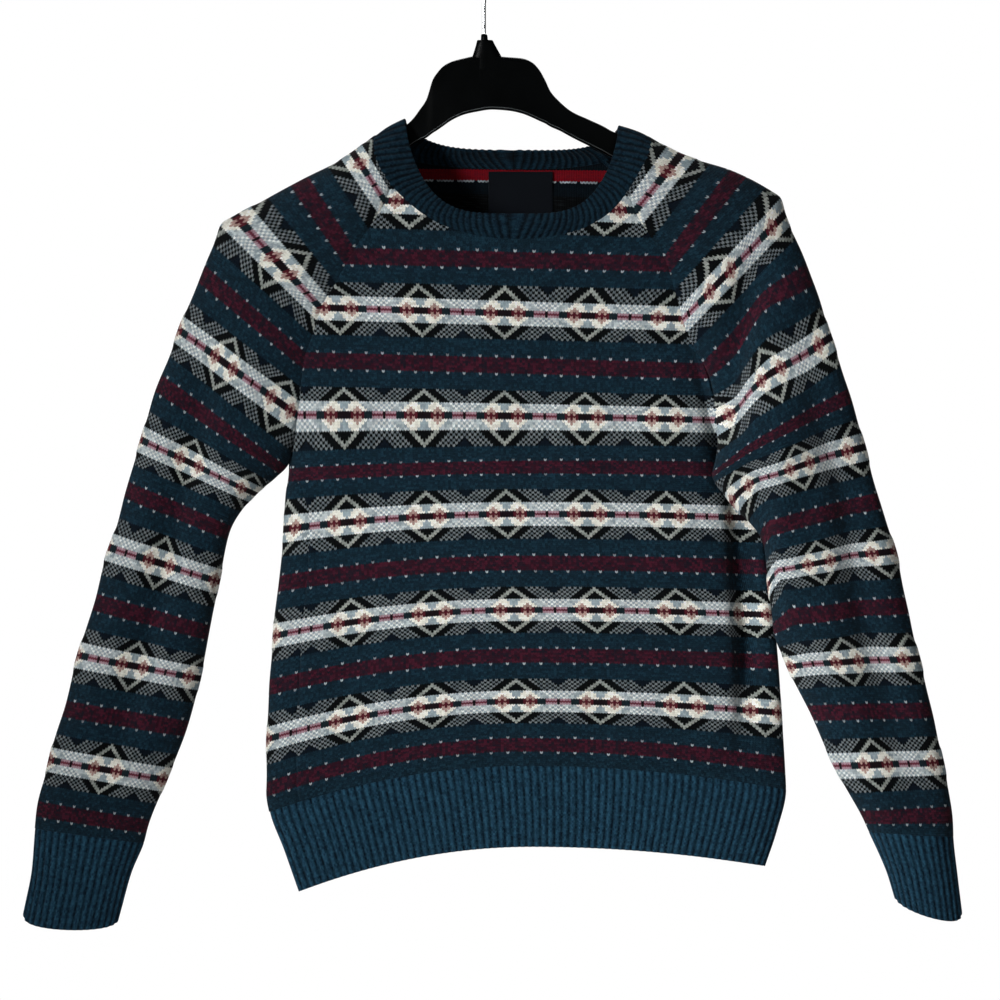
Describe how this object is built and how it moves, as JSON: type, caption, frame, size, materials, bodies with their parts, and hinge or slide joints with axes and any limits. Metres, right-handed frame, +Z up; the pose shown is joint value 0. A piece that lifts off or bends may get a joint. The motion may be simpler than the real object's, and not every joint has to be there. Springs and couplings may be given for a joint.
{
  "type": "knitted raglan sweater on a coat hanger",
  "caption": "Crew-neck raglan pullover in striped geometric knit with ribbed collar, cuffs and hem, hanging empty on a moulded coat hanger.",
  "frame": {"origin": "the inside of the hook's top, where a rail carries it", "axes": "+Z up, -Y the garment's front, +X towards the wearer's left"},
  "size_m": [0.845, 0.1114, 0.8891],
  "materials": {
    "knit": "stranded wool jersey, patterned",
    "rib": "ribbed wool knit",
    "label": "woven satin",
    "hanger_plastic": "satin black",
    "hook_wire": "bright wire"
  },
  "bodies": {
    "root": {"front": "knit", "back": "knit", "sleeve_right": "knit", "sleeve_left": "knit", "hem_rib_front": "rib", "hem_rib_back": "rib", "cuff_right": "rib", "cuff_left": "rib", "neck_rib": "rib", "neck_label": "label", "hanger": "hanger_plastic", "hanger_hook": "hook_wire"}
  },
  "joints": []
}
